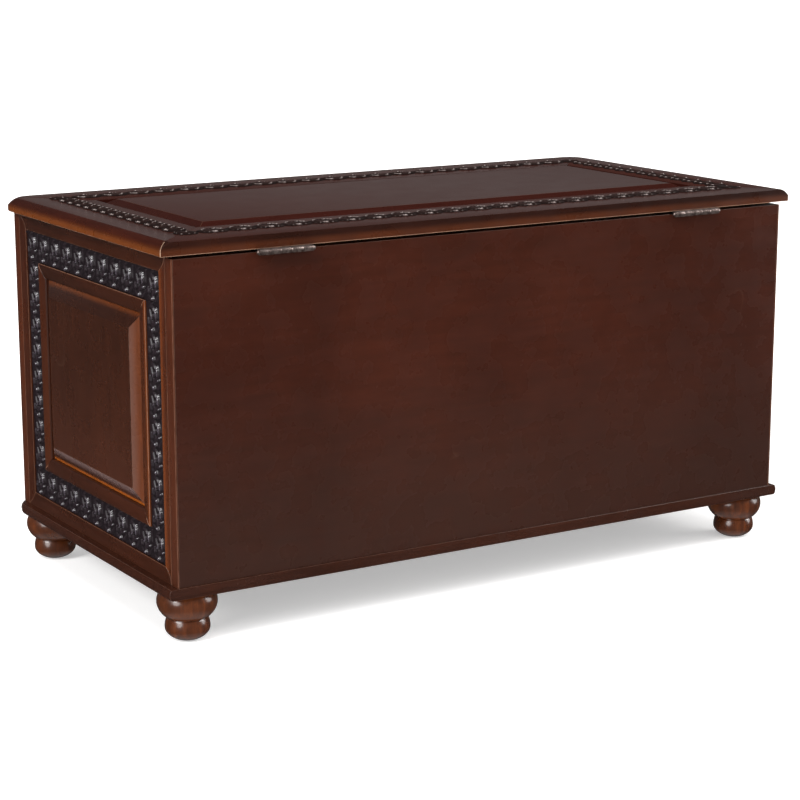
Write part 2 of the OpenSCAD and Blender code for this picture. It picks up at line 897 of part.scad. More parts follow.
placed() stay_elbow_rivet(RIGHT);  // right_stay_elbow_rivet
placed() stay_upper_arm(RIGHT);  // right_stay_upper_arm
placed() stay_lid_rivet(RIGHT);  // right_stay_lid_rivet
placed() stay_lid_bracket(RIGHT);  // right_stay_lid_bracket
placed() stay_case_screws();
placed() stay_lid_screws();
placed() lid_back_rail();
placed() lid_front_rail();
placed() lid_end_rail(LEFT);  // lid_left_rail
placed() lid_end_rail(RIGHT);  // lid_right_rail
placed() lid_panel();
placed() lid_carving();
placed() lid_cleats();
placed() lid_bumpers();
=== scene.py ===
"""The looks of a wooden storage chest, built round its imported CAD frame.

In order: node graphs and finishes, functions that make pieces, the carved relief, the turned feet,
the chest's materials, the chest, and the stage with its lights and camera."""

import json
import math

import bmesh
import bpy
import numpy as np
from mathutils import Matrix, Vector


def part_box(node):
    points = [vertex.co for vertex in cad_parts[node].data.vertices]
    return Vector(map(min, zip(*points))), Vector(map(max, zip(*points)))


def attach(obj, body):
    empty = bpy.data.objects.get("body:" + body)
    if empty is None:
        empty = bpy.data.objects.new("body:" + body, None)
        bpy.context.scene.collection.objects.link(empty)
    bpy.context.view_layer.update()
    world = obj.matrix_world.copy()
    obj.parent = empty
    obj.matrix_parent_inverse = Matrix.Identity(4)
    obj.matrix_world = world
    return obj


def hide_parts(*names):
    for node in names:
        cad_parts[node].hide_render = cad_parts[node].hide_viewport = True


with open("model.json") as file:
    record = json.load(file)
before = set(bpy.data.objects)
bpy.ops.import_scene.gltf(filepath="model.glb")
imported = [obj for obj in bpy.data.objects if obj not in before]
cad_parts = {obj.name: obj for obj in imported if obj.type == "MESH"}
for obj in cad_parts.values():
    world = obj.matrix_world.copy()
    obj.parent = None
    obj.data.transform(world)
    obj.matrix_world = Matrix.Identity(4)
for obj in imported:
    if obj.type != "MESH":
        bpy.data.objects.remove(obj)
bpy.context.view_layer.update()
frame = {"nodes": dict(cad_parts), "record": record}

MM = 0.001
AXES = "XYZ"


# ------------------------------------------------------------------ node graphs


def srgb(code):
    """A linear colour from a hex code such as "4a2418"."""
    parts = [int(code[i : i + 2], 16) / 255 for i in (0, 2, 4)]
    linear = [c / 12.92 if c <= 0.04045 else ((c + 0.055) / 1.055) ** 2.4 for c in parts]
    return (*linear, 1.0)


class Graph:
    """The node tree of a material or world, built by short calls."""

    def __init__(self, owner, space="Object"):
        self.owner = owner
        owner.use_nodes = True
        self.tree = owner.node_tree
        self.tree.nodes.clear()
        self.coord = self.add("ShaderNodeTexCoord").outputs[space]

    def add(self, kind, inputs=None, **settings):
        """A new node with these settings. inputs holds sockets to link, or even values."""
        node = self.tree.nodes.new(kind)
        for key, value in settings.items():
            setattr(node, key, value)
        for key, value in (inputs or {}).items():
            if isinstance(value, bpy.types.NodeSocket):
                self.tree.links.new(value, node.inputs[key])
            else:
                node.inputs[key].default_value = value
        return node

    def math(self, operation, a, b=0.0):
        return self.add("ShaderNodeMath", {0: a, 1: b}, operation=operation).outputs[0]

    def mix(self, factor, a, b):
        """Colour a where factor is 0, and b where it is 1."""
        return self.add("ShaderNodeMix", {0: factor, 6: a, 7: b}, data_type="RGBA").outputs[2]

    def span(self, value, low, high, to_low=0.0, to_high=1.0):
        """value's span from low to high, eased to to_low..to_high and held beyond them."""
        inputs = {
            "Value": value,
            "From Min": low,
            "From Max": high,
            "To Min": to_low,
            "To Max": to_high,
        }
        return self.add("ShaderNodeMapRange", inputs, interpolation_type="SMOOTHSTEP").outputs[0]

    def noise(self, scale, detail=3.0, roughness=0.5, stretch=(1, 1, 1), distortion=0.0):
        moved = self.add("ShaderNodeMapping", {"Vector": self.coord, "Scale": stretch}).outputs[0]
        inputs = {
            "Vector": moved,
            "Scale": scale,
            "Detail": detail,
            "Roughness": roughness,
            "Distortion": distortion,
        }
        return self.add("ShaderNodeTexNoise", inputs).outputs[0]

    def ramp(self, factor, stops):
        node = self.add("ShaderNodeValToRGB", {0: factor})
        elements = node.color_ramp.elements
        while len(elements) < len(stops):
            elements.new(0.5)
        for element, (position, colour) in zip(elements, stops):
            element.position, element.color = position, colour
        return node.outputs[0]

    def axis(self, letter):
        return self.add("ShaderNodeSeparateXYZ", {0: self.coord}).outputs[letter]

    def finish(self, colour, roughness, height=None, depth=0.3 * MM, strength=0.4, **plain):
        """The output: a Principled surface with a bump. plain holds even values, which are set on
        the shader's own sockets."""
        inputs = {"Base Color": colour, "Roughness": roughness}
        if height is not None:
            bump = {"Height": height, "Distance": depth, "Strength": strength}
            inputs["Normal"] = self.add("ShaderNodeBump", bump).outputs[0]
        for name, value in plain.items():
            inputs[name.replace("_", " ")] = value
        shader = self.add("ShaderNodeBsdfPrincipled", inputs)
        self.add("ShaderNodeOutputMaterial", {"Surface": shader.outputs[0]})
        return self.owner


def surface(name):
    """The empty graph of a new material."""
    return Graph(bpy.data.materials.new(name))


# ------------------------------------------------------------------ finishes

# how many waves of each noise a metre holds
STREAKS, PORES, CLOUDS, BREAKS, SMEARS = 9.0, 60.0, 5.0, 26.0, 30.0
RUBS, DENTS, GRIME, DUST, STAINS, PITS, GRIT = 70.0, 300.0, 90.0, 420.0, 140.0, 500.0, 700.0

MIDDLE = (0.3, 0.7)  # the part of a noise's range that most of it lies in
ACROSS_FIBRE = 13.0  # how many times finer the grain is across the fibre than along it
# the dark of arrises that lie in painted shade
PAINTED_SHADE_ARRIS = "2a130a"


def grain(g, letter, fine=1.0):
    """Wood fibre along one axis: (broad streaks, fine pores)."""
    stretch = tuple(1.0 if a == letter else ACROSS_FIBRE for a in AXES)
    return (
        g.noise(STREAKS * fine, 5.0, 0.6, stretch, distortion=0.6),
        g.noise(PORES * fine, 4.0, 0.7, stretch),
    )


def fibre_colour(g, streak, pore, share, tones, stops):
    """tones (dark, middle, light) at stops of the fibre, share of which is streaks."""
    streaks, pores = g.math("MULTIPLY", streak, share), g.math("MULTIPLY", pore, 1 - share)
    colours = [(stop, srgb(tone)) for stop, tone in zip(stops, tones)]
    return g.ramp(g.math("ADD", streaks, pores), colours)


def wood(name, letter, tones, rough, gloss, mottle, tints=(), bump=0.3, vary=0.04, **plain):
    """Stained, varnished wood with its grain along an axis. tones are (dark, middle, light) codes,
    and tints are (mask maker, colour code, strength)."""
    g = surface(f"{name}_{letter.lower()}")
    streak, pore = grain(g, letter)
    colour = fibre_colour(g, streak, pore, 0.6, tones, (0.28, 0.5, 0.72))
    cloud = g.span(g.noise(CLOUDS, 4.0, 0.6), *MIDDLE, 1.0 - mottle, 1.0 + mottle)
    clouded = g.add("ShaderNodeVectorMath", {0: colour, "Scale": cloud}, operation="SCALE")
    colour = clouded.outputs[0]
    for mask, code, strength in tints:
        broken = g.math("MULTIPLY", mask(g), g.span(g.noise(BREAKS), 0.2, 0.6, 0.75, 1.0))
        colour = g.mix(g.math("MULTIPLY", broken, strength), colour, srgb(code))
    roughness = g.span(g.noise(SMEARS), *MIDDLE, rough - vary, rough + vary)
    height = g.math("ADD", g.math("MULTIPLY", streak, 0.5), pore)
    return g.finish(colour, roughness, height, 0.08 * MM, bump, Specular_IOR_Level=gloss, **plain)


def worn_with_painted_highlight(name, code, under, where=None):
    """The arris of a wooden piece, lighter than its faces and a little uneven: partly rubbed wear
    and partly a painted highlight. Away from the mask that where makes, it is painted dark, as
    shade."""
    g = surface(name)
    patch = g.span(g.noise(RUBS, 4.0, 0.6), 0.3, 0.55)
    colour = g.mix(patch, srgb(under), srgb(code))
    if where:
        colour = g.mix(where(g), srgb(PAINTED_SHADE_ARRIS), colour)
    return g.finish(colour, 0.35, g.noise(DENTS), 0.1 * MM, 0.3, Specular_IOR_Level=0.5)


def carved_black(name, tones, rough, stops=(0.05, 0.62, 1.0), **plain):
    """Near-black stain on the carving, darker in its hollows and paler on its high points: the dark
    hollows are a painted shade, and the pale tops partly rubbed wear and partly a painted
    highlight. tones are (hollow, middle, top), and stops are their shares of the relief's full
    height."""
    g = surface(name)
    relief = g.add("ShaderNodeAttribute", attribute_name="relief").outputs["Fac"]
    grime = g.noise(GRIME, 5.0, 0.65)
    level = g.math("ADD", relief, g.span(grime, *MIDDLE, -0.08, 0.08))
    colour = g.ramp(level, [(stop, srgb(tone)) for stop, tone in zip(stops, tones)])
    roughness = g.span(grime, *MIDDLE, rough - 0.03, rough + 0.05)
    height = g.math("ADD", grime, g.noise(DUST))
    return g.finish(colour, roughness, height, 0.1 * MM, 0.12, **plain)


def raw_wood(name, letter, tones):
    """Planed, unvarnished wood of the inside."""
    g = surface(f"{name}_{letter.lower()}")
    streak, pore = grain(g, letter, 0.7)
    colour = fibre_colour(g, streak, pore, 0.75, tones, (0.3, 0.5, 0.7))
    roughness = g.span(pore, *MIDDLE, 0.6, 0.75)
    return g.finish(colour, roughness, pore, 0.2 * MM, 0.5, Specular_IOR_Level=0.3)


def metal(name, code, tarnish, rough):
    """Cast or rolled metal, duller where it is tarnished."""
    g = surface(name)
    stain = g.span(g.noise(STAINS, 5.0, 0.6), 0.35, 0.65)
    colour = g.mix(stain, srgb(tarnish), srgb(code))
    roughness = g.span(stain, 0.0, 1.0, rough + 0.18, rough)
    return g.finish(colour, roughness, g.noise(PITS), 0.1 * MM, 0.4, Metallic=0.85)


def rubber():
    """Dull black rubber with a fine grit."""
    g = surface("rubber_black")
    fine = g.noise(GRIT)
    colour = g.mix(fine, srgb("141414"), srgb("262524"))
    return g.finish(colour, g.span(fine, *MIDDLE, 0.6, 0.8), fine, 0.1 * MM, 0.5)


# ------------------------------------------------------------------ pieces

WELD = 0.002 * MM  # points closer than this are one
FLAT = math.radians(0.4)  # faces closer than this are one


def piece(name, mesh, materials, node):
    """Puts a mesh in the scene as a piece that stands for a CAD node and rides on its body."""
    for material in materials:
        mesh.materials.append(material)
    obj = bpy.data.objects.new(name, mesh)
    bpy.context.scene.collection.objects.link(obj)
    body, slot = body_of(node), slot_of(node)
    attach(obj, body)
    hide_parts(node)
    return obj


def body_of(node):
    groups = frame["record"]["behaviour"]["bodies"]
    return next(body for body, members in groups.items() if node in members)


def slot_of(node):
    parts = frame["record"]["subparts"]
    return next(part["material_slot"] for part in parts if part["node"] == node)


def eased(node, materials, width, choose=None, crease=28):
    """A CAD node with its arrises eased: the same solid, welded, with round edges in the last of
    materials. choose gives a face's material index from its centre and normal, and crease is the
    smallest angle, in degrees, that is eased."""
    bm = bmesh.new()
    bm.from_mesh(frame["nodes"][node].data)
    bmesh.ops.remove_doubles(bm, verts=bm.verts, dist=WELD)
    bmesh.ops.dissolve_limit(bm, angle_limit=FLAT, verts=bm.verts, edges=bm.edges)
    for face in bm.faces:
        face.smooth = True
        face.material_index = choose(face.calc_center_median(), face.normal) if choose else 0
    mesh = bpy.data.meshes.new(f"{node}_eased")
    bm.to_mesh(mesh)
    bm.free()
    obj = piece(f"{node}_finished", mesh, materials, node)
    ease = obj.modifiers.new("ease", "BEVEL")
    ease.limit_method = "ANGLE"
    ease.angle_limit = math.radians(crease)
    ease.width = width
    ease.segments = 3
    ease.harden_normals = True
    ease.material = len(materials) - 1


def centre_of(node):
    """The centre and half the size of a node's box."""
    lo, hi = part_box(node)
    return (lo + hi) / 2, (hi - lo) / 2


def by_member(node, across):
    """Chooses 1 for the upright members of a mitred frame and 0 for the level ones."""
    centre, half = centre_of(node)

    def choose(at, normal):
        u, v = (half[i] - abs(at[i] - centre[i]) for i in (across, 2))
        return 1 if u < v else 0

    return choose


# ------------------------------------------------------------------ carved relief, in millimetres

UP = (0, 0, 1)
CARVE_W = 42.5  # width of a carved strip on the case
CARVE_DEPTH = 10.5  # from its CAD strip's face to the plane that its heights count from
CARVE_GROUND = 6.8
LID_STRIP_W = 36.0
LID_PITCH = 39  # about one motif of the lid
LID_SQUEEZE = 1.45  # how much closer the motifs of the lid's ends are
LID_STEP = 1.05  # spacing of the lid relief's points
RIM_STEPS = 1.5  # how many of its points a strip takes to rise from its sides
SHINE_FROM = 0.1  # lower parts never gleam
GLOSSY_SHARE = 0.6  # a face is glossy if more of its corners gleam


def curve_points(a, b, c, count=28):
    """Points of a quadratic curve from a to c, pulled towards b."""
    t = np.linspace(0, 1, count)[:, None]
    a, b, c = (np.array(p, float) for p in (a, b, c))
    return (1 - t) ** 2 * a + 2 * t * (1 - t) * b + t**2 * c


def leaf(u, v, a, b, c, width, height, rib=0.0, blunt=0.6):
    """A round-backed leaf along a curve, with a groove of depth rib down its middle."""
    spine = curve_points(a, b, c)
    away = np.hypot(u[..., None] - spine[:, 0], v[..., None] - spine[:, 1])
    t = np.linspace(0, 1, len(spine))
    half = width * np.sin(np.pi * np.clip(t**0.8 * 0.94 + 0.05, 0, 1)) ** blunt
    near = (away / half).min(-1)
    back = height * np.sqrt(np.clip(1 - near**2, 0, 1))
    return back - rib * np.exp(-((near / 0.22) ** 2)) * (near < 1)


def bead(u, v, at, r, height, long=1.0):
    """A round bead, long times longer along u."""
    away = np.hypot((u - at[0]) / long, v - at[1]) / r
    return height * np.sqrt(np.clip(1 - away**2, 0, 1))


def bud(u, v, at, r, height, long=1.0):
    """A pointed bead."""
    away = np.hypot((u - at[0]) / long, v - at[1]) / r
    return height * np.clip(1 - away, 0, 1) ** 0.85


# A motif gives the heights of its dull and of its glossy parts, for points round its centre.


def border_motif(u, v, pitch):
    """The case's motif: a leaf that leans over its curl, on a stem with a drop."""
    dull = [
        leaf(u, v, (0.5, -9), (7, -8), (10.5, 4), 3.4, 2.2, 0.4),
        leaf(u, v, (0.0, -5.5), (-1.0, -9), (0.4, -14.5), 1.7, 2.6, 0.3),
        leaf(u, v, (-2, -6), (-9, -1), (-9.5, 9), 3.2, 2.3, 0.5),
        leaf(u, v, (2.5, -18.5), (11, -18), (16.5, -8), 2.3, 2.1, 0.5),
        leaf(u, v, (-2.5, -18.5), (-9, -19), (-15, -13), 2.1, 1.9, 0.5),
        leaf(u, v, (-8, 11), (-4, 18), (4.5, 19.3), 2.1, 2.2, 0.5),
        leaf(u, v, (3.5, 7), (0, 13), (-5.5, 12.5), 2.0, 2.6, 0.4),
        leaf(u, v, (-11.0, -1.5), (-12.0, -6), (-10.2, -11), 1.6, 3.2, 0.2),
    ]
    for end in (pitch / 2, -pitch / 2):
        dull.append(leaf(u, v, (end - 1, 0), (end - 5, 12), (end + 1, 19.5), 1.7, 2.0, 0.3))
    glossy = [
        leaf(u, v, (11.6, -0.5), (10.9, 6), (9.2, 14.5), 2.0, 4.0, 0.2, 0.9),
        leaf(u, v, (-4.0, -3.0), (0.2, -2.0), (1.6, 5.0), 1.6, 3.7, 0.1, 0.6),
        bead(u, v, (0.2, -16.2), 2.8, 4.2, 0.85),
        bead(u, v, (13.0, -5.2), 2.1, 3.9, 0.9),
    ]
    return np.maximum.reduce(dull), np.maximum.reduce(glossy)


def upright_motif(u, v, pitch):
    """The case's motif, turned for the upright strips."""
    return border_motif(v, u, pitch + 4)


def lid_motif(u, v, pitch):
    """The lid's motif: a rimmed fan of lobes over a row of buds. v points outwards."""
    lobes = [
        bead(u, v, (-9.5, 0.0), 15.0, 2.2, 0.85),
        bead(u, v, (8.5, 1.0), 14.0, 2.2, 0.95),
        bead(u, v, (-1.0, -4.0), 12.5, 2.4, 1.1),
    ]
    dull = [
        np.minimum(np.maximum.reduce(lobes), 1.7),
        leaf(u, v, (-pitch / 2 - 2, 3), (-6, 8), (pitch / 2 + 2, 3), 2.0, 1.9),
    ]
    glossy = [
        bud(u, v, (-1.5, 11.8), 3.8, 3.4, 1.4),
        bud(u, v, (7.6, 12.2), 2.6, 2.8),
        bud(u, v, (13.4, 10.4), 2.2, 2.4),
        bud(u, v, (-10.2, 11.6), 2.6, 2.8),
        bud(u, v, (-16.0, 9.4), 2.2, 2.4),
        bud(u, v, (7.0, -10.5), 2.6, 3.2, 1.2),
        bud(u, v, (13.5, -5.0), 2.0, 3.0),
        leaf(u, v, (-16.5, 5), (-13, -14), (0, -12.5), 1.15, 3.0),
        leaf(u, v, (1, -11.5), (15, -12), (16.5, 4), 1.15, 2.9),
        leaf(u, v, (-9, 7), (-1, 13), (8, 7), 1.0, 2.7),
    ]
    for i in range(6):
        turn = math.radians(155 - 26 * i)
        reach = 14.5 - 0.9 * abs(i - 2)
        tip = (-2 + 1.15 * reach * math.cos(turn), 3 - reach * math.sin(turn))
        bent = turn + 0.5
        bend = (-2 + 0.5 * reach * math.cos(bent), 3 - 0.62 * reach * math.sin(bent))
        dull.append(leaf(u, v, (-1, 4), bend, tip, 2.5, 2.8 - 0.1 * i, 1.2, 0.45))
        glossy.append(leaf(u, v, (-1, 4), bend, tip, 0.8, 2.5 - 0.1 * i))
    for s in (-1, 1):
        dull.append(leaf(u, v, (s * 2, 4), (s * 9, 9), (s * 15, 4), 2.3, 2.4, 0.8))
    return np.maximum.reduce(dull), np.maximum.reduce(glossy)


def lid_end_motif(u, v, pitch):
    """The lid's motif, squeezed along the run as the lid's ends have it."""
    return lid_motif(u * LID_SQUEEZE, v, pitch * LID_SQUEEZE)


def lid_corner(u, v, pitch):
    """The lid's corner motif: leaves that fan to the outer corner, at (+, +)."""
    dull = [np.minimum(bead(u, v, (-1, -1), 16.5, 2.4), 1.7)]
    glossy = [bud(u, v, (-2, -2), 3.2, 3.4), bud(u, v, (11, 11), 2.6, 3.0)]
    for i in range(5):
        turn = math.radians(-26 + 35.5 * i)
        glossy.append(bud(u, v, (-1 + 14 * math.cos(turn), -1 + 14 * math.sin(turn)), 2.2, 2.8))
    for i in range(7):
        turn = math.radians(-35 + 26.7 * i)
        tip = (-2 + 13 * math.cos(turn), -2 + 13 * math.sin(turn))
        bend = (-2 + 8 * math.cos(turn + 0.3), -2 + 8 * math.sin(turn + 0.3))
        dull.append(leaf(u, v, (-2, -2), bend, tip, 2.5, 2.5, 0.9, 0.45))
    return np.maximum.reduce(dull), np.maximum.reduce(glossy)


class Relief:
    """A carved solid that grows strip by strip: a relief on top, straight walls and a flat back."""

    def __init__(self, ground, back, peak):
        self.ground, self.back, self.peak = ground, back, peak
        self.points, self.faces, self.relief, self.gleam = [], [], [], []

    def strip(self, origin, along, across, out, length, width, cells, motif, step):
        """A strip of cells in a row. origin is its corner on the plane that heights count from."""
        pitch = length / cells
        nu, nv = max(2, round(pitch / step)), max(2, round(width / step))
        cu = (np.arange(nu + 1) / nu - 0.5) * pitch
        cv = (np.arange(nv + 1) / nv - 0.5) * width
        gu, gv = np.meshgrid(cu, cv, indexing="ij")
        dull, glossy = motif(gu, gv, pitch)
        shine = (glossy > np.maximum(dull, SHINE_FROM)).astype(float)

        def repeat(tile):
            return np.concatenate([tile[:-1]] * cells + [tile[-1:]])

        rim = np.minimum(np.arange(nv + 1), nv - np.arange(nv + 1))
        rise = np.clip(rim / RIM_STEPS, 0, 1)[None, :]
        rows = repeat(np.maximum(np.maximum(dull, glossy), 0)) * rise
        n = len(rows)
        su = np.arange(n) / (n - 1) * length
        sv = np.arange(nv + 1) / nv * width
        o, a, c, w = (np.array(x, float) for x in (origin, along, across, out))
        flip = np.dot(np.cross(a, c), w) < 0
        grid = o + su[:, None, None] * a + sv[None, :, None] * c
        grid = grid + (self.ground + rows)[:, :, None] * w
        base = len(self.points)
        self.points += [tuple(p) for p in grid.reshape(-1, 3) * MM]
        self.relief += list((rows / self.peak).reshape(-1))
        self.gleam += list(repeat(shine).reshape(-1))

        def at(i, j):
            return base + i * (nv + 1) + j

        for i in range(n - 1):
            for j in range(nv):
                self.face([at(i, j), at(i + 1, j), at(i + 1, j + 1), at(i, j + 1)], flip)
        under = len(self.points)
        for x, y in ((0, 0), (length, 0), (length, width), (0, width)):
            self.points.append(tuple((o + x * a + y * c + self.back * w) * MM))
            self.relief.append(0.0)
            self.gleam.append(0.0)
        sides = [
            [at(i, 0) for i in range(n)],
            [at(n - 1, j) for j in range(nv + 1)],
            [at(i, nv) for i in reversed(range(n))],
            [at(0, j) for j in reversed(range(nv + 1))],
        ]
        for k, side in enumerate(sides):
            self.face(side[::-1] + [under + k, under + (k + 1) % 4], flip)
        self.face([under + 3, under + 2, under + 1, under], flip)

    def face(self, corners, flip):
        self.faces.append(corners[::-1] if flip else corners)

    def finish(self, name, node, materials):
        """The finished relief as a piece, its glossy faces in the second material."""
        mesh = bpy.data.meshes.new(node)
        mesh.from_pydata(self.points, [], self.faces)
        gleam = np.array(self.gleam)
        glossy = [int(len(f) == 4 and gleam[f].mean() > GLOSSY_SHARE) for f in self.faces]
        mesh.polygons.foreach_set("material_index", glossy)
        mesh.shade_smooth()
        mesh.attributes.new("relief", "FLOAT", "POINT").data.foreach_set("value", self.relief)
        piece(name, mesh, materials, node)


def carved_border(node, across, out_axis, sign, cells_level, cells_upright, step):
    """The carved border of an end or of the front: level strips right across, uprights between."""
    lo, hi = (np.array(corner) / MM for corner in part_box(node))
    along, up, out, origin = np.zeros(3), np.array(UP, float), np.zeros(3), np.zeros(3)
    along[across] = 1
    out[out_axis] = sign
    origin[out_axis] = (hi if sign > 0 else lo)[out_axis] - sign * CARVE_DEPTH
    origin[across] = lo[across]
    origin[2] = lo[2]
    long, tall = hi[across] - lo[across], hi[2] - lo[2]
    w = CARVE_W
    r = Relief(ground=CARVE_GROUND, back=0.2, peak=4.2)
    for z in (0, tall - w):
        r.strip(origin + z * up, along, up, out, long, w, cells_level, border_motif, step)
    for x in (0, long - w):
        corner = origin + x * along + w * up
        r.strip(corner, up, along, out, tall - 2 * w, w, cells_upright, upright_motif, step)
    r.finish(f"{node}_relief", node, [MAT["carved"], MAT["carved_gloss"]])


def lid_border():
    """The lid's carved border: four runs of leaves and four corner leaves."""
    node = "lid_carving"
    lo, hi = (np.array(corner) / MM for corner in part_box(node))
    w = LID_STRIP_W
    long, deep = hi[0] - lo[0] - 2 * w, hi[1] - lo[1] - 2 * w
    cells, end_cells = round(long / LID_PITCH), round(deep * LID_SQUEEZE / LID_PITCH)
    r = Relief(ground=-0.4, back=-1.0, peak=3.0)

    def inner(sx, sy):
        """The border's inner corner on the sides that the signs name."""
        return (hi[0] - w if sx > 0 else lo[0] + w, hi[1] - w if sy > 0 else lo[1] + w, lo[2])

    for s in (1, -1):
        r.strip(inner(s, s), (-s, 0, 0), (0, s, 0), UP, long, w, cells, lid_motif, LID_STEP)
    for s in (1, -1):
        start = inner(s, -s)
        r.strip(start, (0, s, 0), (s, 0, 0), UP, deep, w, end_cells, lid_end_motif, LID_STEP)
    for sx in (-1, 1):
        for sy in (-1, 1):
            r.strip(inner(sx, sy), (sx, 0, 0), (0, sy, 0), UP, w, w, 1, lid_corner, LID_STEP)
    r.finish("lid_carving_relief", node, [MAT["lid_carved"], MAT["lid_carved_gloss"]])


# ------------------------------------------------------------------ turned feet

FOOT_SEGMENTS = 96


def foot_profile():
    """(radius, height) points of a turned foot in millimetres, bottom to top: a low ball, a groove,
    and a wide ball that draws in to the top."""
    low_r, low_z, low_curve, glide_z = 29.5, 16.5, 18, 1
    neck_r, neck_z, fillet = 26.8, 29.5, 0.9
    groove_in, groove_half = 0.5, 0.3
    wide_r, wide_z = 39.5, 51.0
    top_r, top_z = wide_r - 5.5, 66.0

    def ball(a, b, t):
        return a * math.sqrt(1 - (1 - (b / a) ** 2) * t * t)

    points = []
    for i in range(17):
        z = glide_z + (low_z - glide_z) * i / 16
        points.append((low_r * math.sqrt(1 - ((low_z - z) / low_curve) ** 2), z))
    for i in range(1, 17):
        t = i / 16 * (1 - fillet / (neck_z - low_z))
        points.append((ball(low_r, neck_r, t), low_z + (neck_z - low_z) * t))
    points.append((neck_r - groove_in, neck_z - groove_half))
    points.append((neck_r - groove_in, neck_z + groove_half))
    for i in range(16, -1, -1):
        t = i / 16 * (1 - fillet / (wide_z - neck_z))
        points.append((ball(wide_r, neck_r, t), wide_z - (wide_z - neck_z) * t))
    for i in range(1, 13):
        t = i / 12
        points.append((ball(wide_r, top_r, t), wide_z + (top_z - wide_z) * t))
    return points


def turned_foot(node):
    """A foot turned about the middle of its CAD node."""
    centre = centre_of(node)[0]
    turns = [2 * math.pi * k / FOOT_SEGMENTS for k in range(FOOT_SEGMENTS)]
    bm = bmesh.new()
    rings = []
    for radius, z in foot_profile():
        r = radius * MM
        places = [(centre.x + r * math.cos(a), centre.y + r * math.sin(a), z * MM) for a in turns]
        rings.append([bm.verts.new(place) for place in places])
    for low, high in zip(rings, rings[1:]):
        for k in range(FOOT_SEGMENTS):
            n = (k + 1) % FOOT_SEGMENTS
            bm.faces.new((low[k], low[n], high[n], high[k])).smooth = True
    bm.faces.new(rings[0][::-1])
    bm.faces.new(rings[-1])
    name = f"{node}_turned"
    mesh = bpy.data.meshes.new(name)
    bm.to_mesh(mesh)
    bm.free()
    piece(name, mesh, [MAT["foot"]], node)


# ------------------------------------------------------------------ the chest's masks
# Each mask takes a graph and gives a value from 0 to 1, by place.

CASE_FOOT, CASE_RIM = (corner.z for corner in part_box("back_panel"))
LID_EDGE_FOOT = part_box("lid_right_rail")[0].z
PANEL_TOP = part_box("front_raised_panel")[1].z
# the height, in metres, that the painted reflection of the floor reaches up to
REFLECTION_TOP = 0.38
FRONT_SHADE = (0.05, -0.15)  # from and to, along Y
FAR_SHADE = (0.1, -0.5)  # from and to, along X


def above(g, base, start, end):
    """Grows from start to end, in millimetres above a height."""
    return g.span(g.axis("Z"), base + start * MM, base + end * MM)


def low_glow(g):
    """Painted light, stronger towards the foot of the case."""
    return g.span(g.axis("Z"), CASE_RIM, CASE_FOOT)


def painted_floor_reflection(g):
    """A painted reflection of the floor, stronger towards the foot of the case like low_glow, over
    less of its height.
    """
    return g.span(g.axis("Z"), REFLECTION_TOP, CASE_FOOT)


def band_glow(g):
    """Painted light, stronger towards the foot of the lid's edge."""
    return above(g, LID_EDGE_FOOT, 13, 4)


def band_line(g):
    """The lower arris of the lid's edge, lighter: partly rubbed wear and partly a painted
    highlight.
    """
    return above(g, LID_EDGE_FOOT, 0.8, 0.4)


def corner_line(g):
    """The upright arrises at the lid's back corners, lighter: partly rubbed wear and partly a
    painted highlight.
    """
    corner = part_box("lid_right_rail")[1]
    along = g.math("SUBTRACT", corner.x, g.math("ABSOLUTE", g.axis("X")))
    back = g.math("SUBTRACT", corner.y, g.axis("Y"))
    off = g.math("ABSOLUTE", g.math("SUBTRACT", along, back))
    below = above(g, corner.z, -0.6, -1.2)
    return g.math("MULTIPLY", g.span(off, 0.9 * MM, 0.5 * MM), below)


def below_bevel(g):
    """1 below the panels' upper bevel."""
    return above(g, PANEL_TOP, -24, -32)


def front_shade(g):
    """Painted shade, stronger on the front half of the chest."""
    return g.span(g.axis("Y"), *FRONT_SHADE)


def far_shade(g):
    """Painted shade, stronger towards the chest's left end."""
    return g.span(g.axis("X"), *FAR_SHADE)


def scratches(g):
    """Hair-fine curved scratches in patches."""
    bends, patches = g.noise(7.0, detail=0.5), g.noise(16.0, detail=1.0)
    away = g.math("ABSOLUTE", g.math("SUBTRACT", bends, 0.5))
    return g.math("MULTIPLY", g.span(away, 0.0015, 0.0), g.span(patches, 0.53, 0.6))


def inwards(node, across, start, end):
    """Makes a mask that grows from start to end, in millimetres in from the outside of a face's
    frame or panel."""
    centre, half = centre_of(node)

    def mask(g):
        gaps = []
        for i in (across, 2):
            off = g.math("SUBTRACT", g.axis(AXES[i]), centre[i])
            gaps.append(g.math("SUBTRACT", half[i], g.math("ABSOLUTE", off)))
        return g.span(g.math("MINIMUM", *gaps), start * MM, end * MM)

    return mask


# ------------------------------------------------------------------ the chest's materials

# GLOW is a painted orange glow of light, on the moulding uprights by the carving and at the panels'
# bevels
GLOW = "7a3c14"
SCRATCH = "7a5a48"
BACK = ("30150b", "36160c", "3c1a0f")
# LEVEL, UPRIGHT and INNER are one moulding wood toned as painted light and shade: the outer
# uprights lighter, as lit, and the level members and inner uprights darker, as shaded.
LEVEL = ("29120a", "32170c", "3b1c11")
UPRIGHT = ("3b1a0c", "461f0f", "502613")
INNER = ("311509", "3b190b", "441f0e")
SILL = ("251109", "2f160d", "371c12")
PANEL = ("2a1208", "32160a", "391b0e")
# the raised panel's side bevels are painted lighter, as lit, and its upper bevel darker, as shaded
PANEL_SIDE_PAINTED_LIGHT = ("4a230f", "572a12", "653216")
PANEL_UPPER_PAINTED_SHADE = ("250f08", "2b130a", "33170d")
FOOT = ("2c1408", "48210b", "68330e")
TOP = ("32130b", "36150d", "3a170f")
GROOVE = ("290f0a", "2f120d", "341510")
# the lid's edge is one wood, painted darker along its long sides than at its ends, as shade
LONG_BAND = ("1d0b05", "250e07", "2e1309")
END_BAND = ("280e06", "32120a", "3c180b")
PLANED = ("5a3d29", "74523a", "8b6749")
CEDAR = ("7d4c30", "a46c48", "bd8963")

FACES = (("left", 1), ("right", 1), ("front", 0))  # a face, and the axis that it runs along


